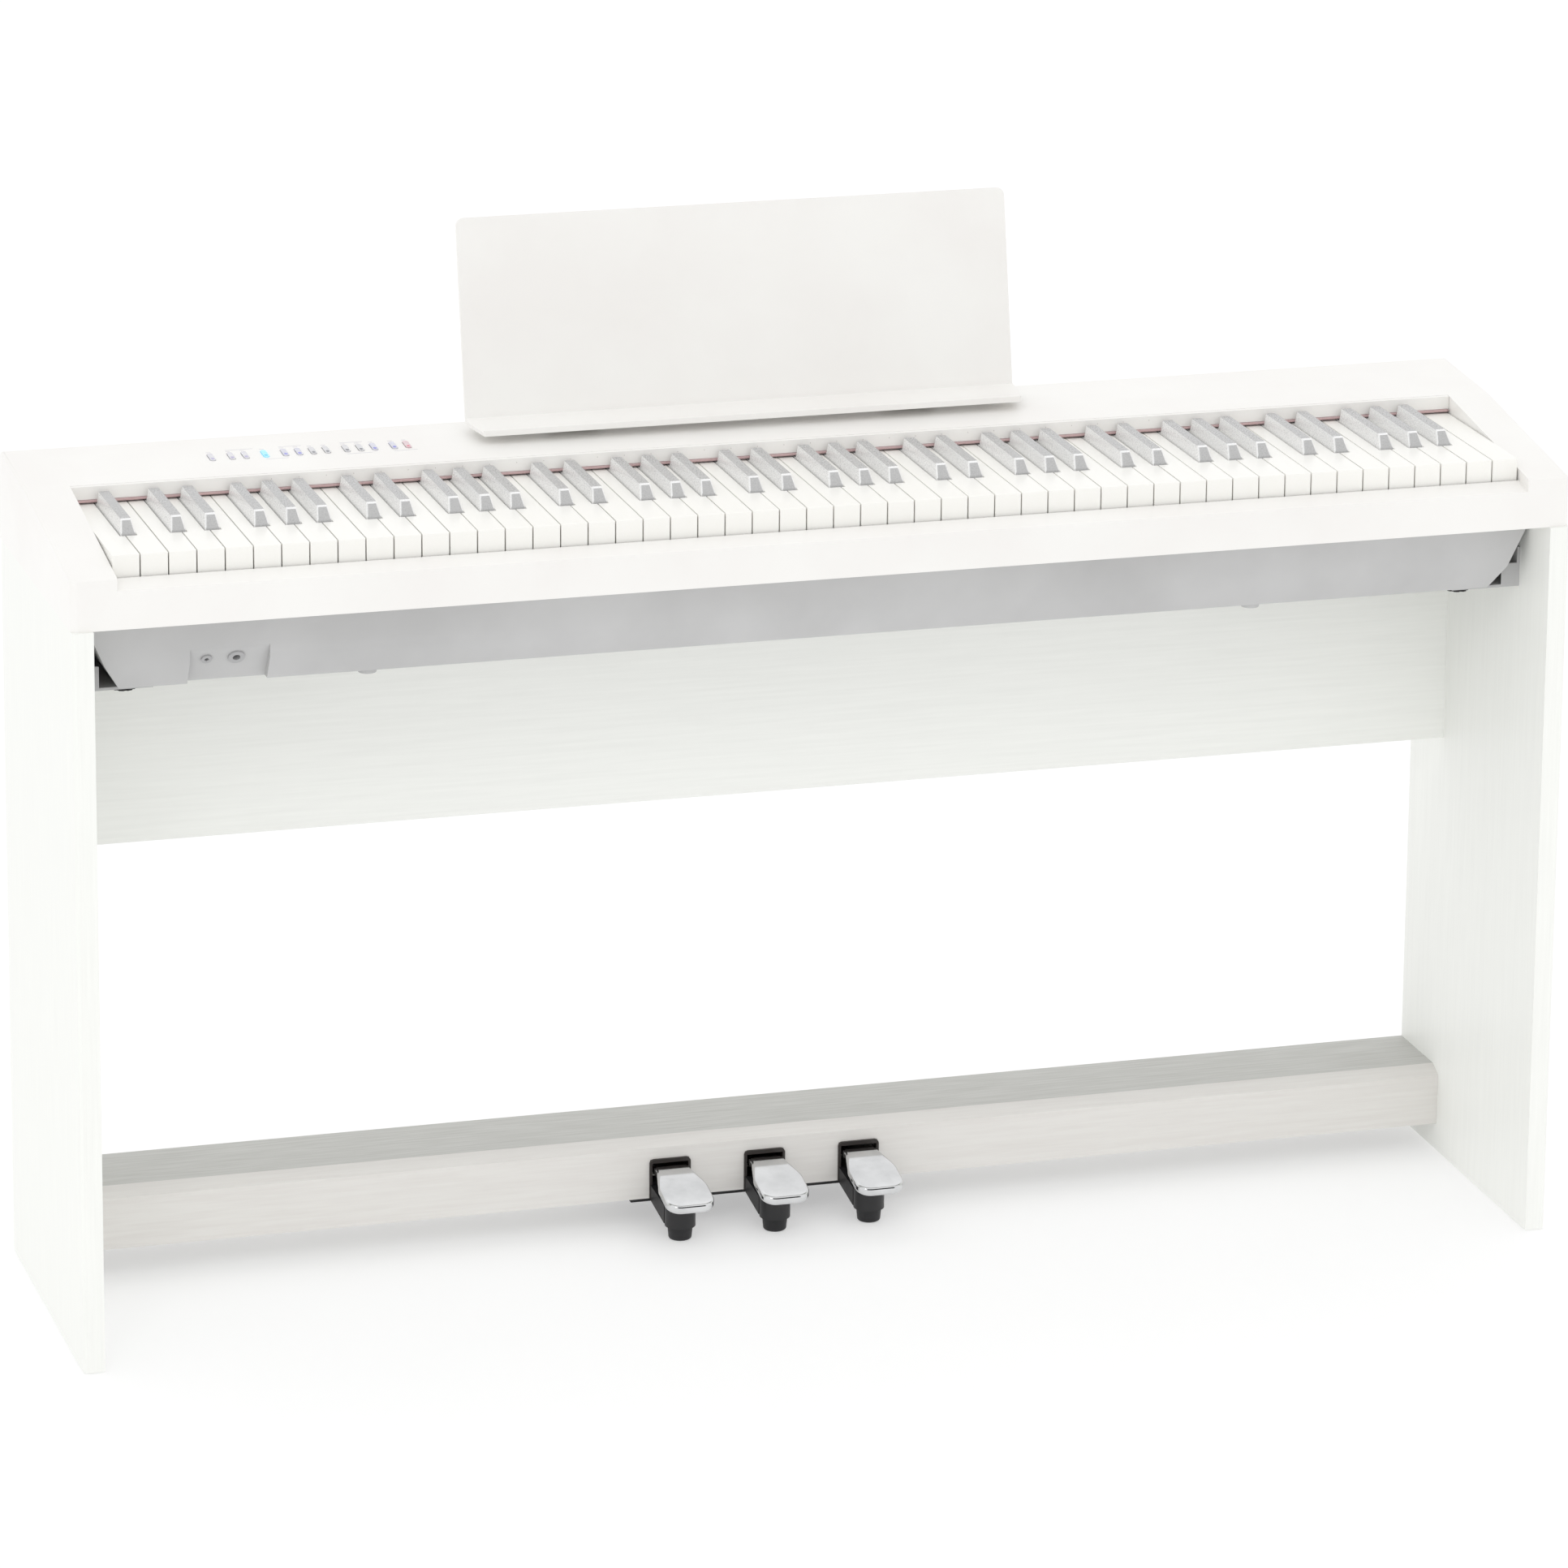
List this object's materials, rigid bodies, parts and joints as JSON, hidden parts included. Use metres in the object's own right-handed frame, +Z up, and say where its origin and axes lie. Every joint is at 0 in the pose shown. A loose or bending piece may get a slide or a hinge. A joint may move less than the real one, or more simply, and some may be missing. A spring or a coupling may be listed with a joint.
{
  "type": "digital piano on stand",
  "caption": "Slab digital piano with a full-length keyboard, a lift-off music rest and push buttons, on a white panel stand with a cross beam that carries chrome foot pedals.",
  "frame": {"origin": "bottom centre of the whole object's box, on the floor between the side panels", "axes": "+X along the keyboard from the bass end to the treble end, +Y from the player towards the back, +Z up"},
  "size_m": [1.3, 0.31, 0.8925],
  "materials": {
    "white_case": "satin moulded, fine grain",
    "dark_case": "fine grain moulded",
    "red_felt": "short pile felt",
    "plated_steel": "zinc plated",
    "circuit_board": "solder mask",
    "speaker_black": "paper cone and pressed basket",
    "black_plastic": "moulded",
    "black_rubber": "matte",
    "white_key": "ivory feel, satin",
    "black_key": "ebony feel, satin grain, washed-out grey as seen",
    "button_lens": "translucent",
    "white_panel": "white foil on fibreboard",
    "grey_steel": "powder coated",
    "black_steel": "powder coated",
    "glide_plastic": "moulded",
    "chrome": "polished",
    "spring_steel": "oiled wire"
  },
  "bodies": {
    "piano_and_stand": {"upper_case": "white_case", "fallboard_strip": "white_case", "lower_case": "dark_case", "felt_strip": "red_felt", "key_frame": "plated_steel", "key_pivot_rod": "plated_steel", "pedal_pins": "plated_steel", "case_screws": "plated_steel", "cam_fasteners": "plated_steel", "contact_board": "circuit_board", "main_board": "circuit_board", "panel_board": "circuit_board", "speakers": "speaker_black", "phones_jack_large": "black_plastic", "phones_jack_small": "black_plastic", "rear_sockets": "black_plastic", "pedal_bezels": "black_plastic", "pedal_brackets": "black_plastic", "hand_screws": "black_plastic", "rubber_feet": "black_rubber", "pedal_feet": "black_rubber", "left_panel": "white_panel", "right_panel": "white_panel", "back_board": "white_panel", "pedal_beam": "white_panel", "support_brackets": "grey_steel", "beam_base_plate": "black_steel", "glides": "glide_plastic", "pedal_spring_left": "spring_steel", "pedal_spring_middle": "spring_steel", "pedal_spring_right": "spring_steel"},
    "keys_a": {"keys_a": "white_key"},
    "keys_b": {"keys_b": "white_key"},
    "keys_c": {"keys_c": "white_key"},
    "keys_d": {"keys_d": "white_key"},
    "keys_e": {"keys_e": "white_key"},
    "keys_f": {"keys_f": "white_key"},
    "keys_g": {"keys_g": "white_key"},
    "keys_a_sharp": {"keys_a_sharp": "black_key"},
    "keys_c_sharp": {"keys_c_sharp": "black_key"},
    "keys_d_sharp": {"keys_d_sharp": "black_key"},
    "keys_f_sharp": {"keys_f_sharp": "black_key"},
    "keys_g_sharp": {"keys_g_sharp": "black_key"},
    "button_01": {"button_01": "button_lens"},
    "button_02": {"button_02": "button_lens"},
    "button_03": {"button_03": "button_lens"},
    "button_04": {"button_04": "button_lens"},
    "button_05": {"button_05": "button_lens"},
    "button_06": {"button_06": "button_lens"},
    "button_07": {"button_07": "button_lens"},
    "button_08": {"button_08": "button_lens"},
    "button_09": {"button_09": "button_lens"},
    "button_10": {"button_10": "button_lens"},
    "button_11": {"button_11": "button_lens"},
    "button_12": {"button_12": "button_lens"},
    "button_13": {"button_13": "button_lens"},
    "pedal_left": {"pedal_left": "chrome"},
    "pedal_middle": {"pedal_middle": "chrome"},
    "pedal_right": {"pedal_right": "chrome"},
    "music_rest": {"music_rest": "white_case"}
  },
  "joints": [
    {"name": "keys_a_press", "type": "hinge", "parent": "piano_and_stand", "child": "keys_a", "pos_m": [0, 0.077, 0.684], "axis": [1, 0, 0], "range_deg": [0, 2.8], "stiffness_Nm_per_rad": 8, "springref_deg": -10.31},
    {"name": "keys_b_press", "type": "hinge", "parent": "piano_and_stand", "child": "keys_b", "pos_m": [0, 0.077, 0.684], "axis": [1, 0, 0], "range_deg": [0, 2.8], "stiffness_Nm_per_rad": 8, "springref_deg": -10.31},
    {"name": "keys_c_press", "type": "hinge", "parent": "piano_and_stand", "child": "keys_c", "pos_m": [0, 0.077, 0.684], "axis": [1, 0, 0], "range_deg": [0, 2.8], "stiffness_Nm_per_rad": 8, "springref_deg": -10.31},
    {"name": "keys_d_press", "type": "hinge", "parent": "piano_and_stand", "child": "keys_d", "pos_m": [0, 0.077, 0.684], "axis": [1, 0, 0], "range_deg": [0, 2.8], "stiffness_Nm_per_rad": 8, "springref_deg": -10.31},
    {"name": "keys_e_press", "type": "hinge", "parent": "piano_and_stand", "child": "keys_e", "pos_m": [0, 0.077, 0.684], "axis": [1, 0, 0], "range_deg": [0, 2.8], "stiffness_Nm_per_rad": 8, "springref_deg": -10.31},
    {"name": "keys_f_press", "type": "hinge", "parent": "piano_and_stand", "child": "keys_f", "pos_m": [0, 0.077, 0.684], "axis": [1, 0, 0], "range_deg": [0, 2.8], "stiffness_Nm_per_rad": 8, "springref_deg": -10.31},
    {"name": "keys_g_press", "type": "hinge", "parent": "piano_and_stand", "child": "keys_g", "pos_m": [0, 0.077, 0.684], "axis": [1, 0, 0], "range_deg": [0, 2.8], "stiffness_Nm_per_rad": 8, "springref_deg": -10.31},
    {"name": "keys_a_sharp_press", "type": "hinge", "parent": "piano_and_stand", "child": "keys_a_sharp", "pos_m": [0, 0.077, 0.684], "axis": [1, 0, 0], "range_deg": [0, 2.8], "stiffness_Nm_per_rad": 6, "springref_deg": -8.02},
    {"name": "keys_c_sharp_press", "type": "hinge", "parent": "piano_and_stand", "child": "keys_c_sharp", "pos_m": [0, 0.077, 0.684], "axis": [1, 0, 0], "range_deg": [0, 2.8], "stiffness_Nm_per_rad": 6, "springref_deg": -8.02},
    {"name": "keys_d_sharp_press", "type": "hinge", "parent": "piano_and_stand", "child": "keys_d_sharp", "pos_m": [0, 0.077, 0.684], "axis": [1, 0, 0], "range_deg": [0, 2.8], "stiffness_Nm_per_rad": 6, "springref_deg": -8.02},
    {"name": "keys_f_sharp_press", "type": "hinge", "parent": "piano_and_stand", "child": "keys_f_sharp", "pos_m": [0, 0.077, 0.684], "axis": [1, 0, 0], "range_deg": [0, 2.8], "stiffness_Nm_per_rad": 6, "springref_deg": -8.02},
    {"name": "keys_g_sharp_press", "type": "hinge", "parent": "piano_and_stand", "child": "keys_g_sharp", "pos_m": [0, 0.077, 0.684], "axis": [1, 0, 0], "range_deg": [0, 2.8], "stiffness_Nm_per_rad": 6, "springref_deg": -8.02},
    {"name": "button_01_press", "type": "slide", "parent": "piano_and_stand", "child": "button_01", "axis": [0, 0.0633, -0.998], "range_m": [0, 0.001], "stiffness_N_per_m": 600, "springref_m": -0.0005},
    {"name": "button_02_press", "type": "slide", "parent": "piano_and_stand", "child": "button_02", "axis": [0, 0.0633, -0.998], "range_m": [0, 0.001], "stiffness_N_per_m": 600, "springref_m": -0.0005},
    {"name": "button_03_press", "type": "slide", "parent": "piano_and_stand", "child": "button_03", "axis": [0, 0.0633, -0.998], "range_m": [0, 0.001], "stiffness_N_per_m": 600, "springref_m": -0.0005},
    {"name": "button_04_press", "type": "slide", "parent": "piano_and_stand", "child": "button_04", "axis": [0, 0.0633, -0.998], "range_m": [0, 0.001], "stiffness_N_per_m": 600, "springref_m": -0.0005},
    {"name": "button_05_press", "type": "slide", "parent": "piano_and_stand", "child": "button_05", "axis": [0, 0.0633, -0.998], "range_m": [0, 0.001], "stiffness_N_per_m": 600, "springref_m": -0.0005},
    {"name": "button_06_press", "type": "slide", "parent": "piano_and_stand", "child": "button_06", "axis": [0, 0.0633, -0.998], "range_m": [0, 0.001], "stiffness_N_per_m": 600, "springref_m": -0.0005},
    {"name": "button_07_press", "type": "slide", "parent": "piano_and_stand", "child": "button_07", "axis": [0, 0.0633, -0.998], "range_m": [0, 0.001], "stiffness_N_per_m": 600, "springref_m": -0.0005},
    {"name": "button_08_press", "type": "slide", "parent": "piano_and_stand", "child": "button_08", "axis": [0, 0.0633, -0.998], "range_m": [0, 0.001], "stiffness_N_per_m": 600, "springref_m": -0.0005},
    {"name": "button_09_press", "type": "slide", "parent": "piano_and_stand", "child": "button_09", "axis": [0, 0.0633, -0.998], "range_m": [0, 0.001], "stiffness_N_per_m": 600, "springref_m": -0.0005},
    {"name": "button_10_press", "type": "slide", "parent": "piano_and_stand", "child": "button_10", "axis": [0, 0.0633, -0.998], "range_m": [0, 0.001], "stiffness_N_per_m": 600, "springref_m": -0.0005},
    {"name": "button_11_press", "type": "slide", "parent": "piano_and_stand", "child": "button_11", "axis": [0, 0.0633, -0.998], "range_m": [0, 0.001], "stiffness_N_per_m": 600, "springref_m": -0.0005},
    {"name": "button_12_press", "type": "slide", "parent": "piano_and_stand", "child": "button_12", "axis": [0, 0.0633, -0.998], "range_m": [0, 0.001], "stiffness_N_per_m": 600, "springref_m": -0.0005},
    {"name": "button_13_press", "type": "slide", "parent": "piano_and_stand", "child": "button_13", "axis": [0, 0.0633, -0.998], "range_m": [0, 0.001], "stiffness_N_per_m": 600, "springref_m": -0.0005},
    {"name": "pedal_left_press", "type": "hinge", "parent": "piano_and_stand", "child": "pedal_left", "pos_m": [0, 0.131, 0.052], "axis": [1, 0, 0], "range_deg": [0, 5.4], "stiffness_Nm_per_rad": 12, "springref_deg": -6.88, "deforming": ["pedal_spring_left"]},
    {"name": "pedal_middle_press", "type": "hinge", "parent": "piano_and_stand", "child": "pedal_middle", "pos_m": [0, 0.131, 0.052], "axis": [1, 0, 0], "range_deg": [0, 5.4], "stiffness_Nm_per_rad": 12, "springref_deg": -6.88, "deforming": ["pedal_spring_middle"]},
    {"name": "pedal_right_press", "type": "hinge", "parent": "piano_and_stand", "child": "pedal_right", "pos_m": [0, 0.131, 0.052], "axis": [1, 0, 0], "range_deg": [0, 5.4], "stiffness_Nm_per_rad": 12, "springref_deg": -6.88, "deforming": ["pedal_spring_right"]},
    {"name": "music_rest_lift", "type": "slide", "parent": "piano_and_stand", "child": "music_rest", "axis": [0, 0.1908, 0.9816], "range_m": [0, 0.03]}
  ]
}
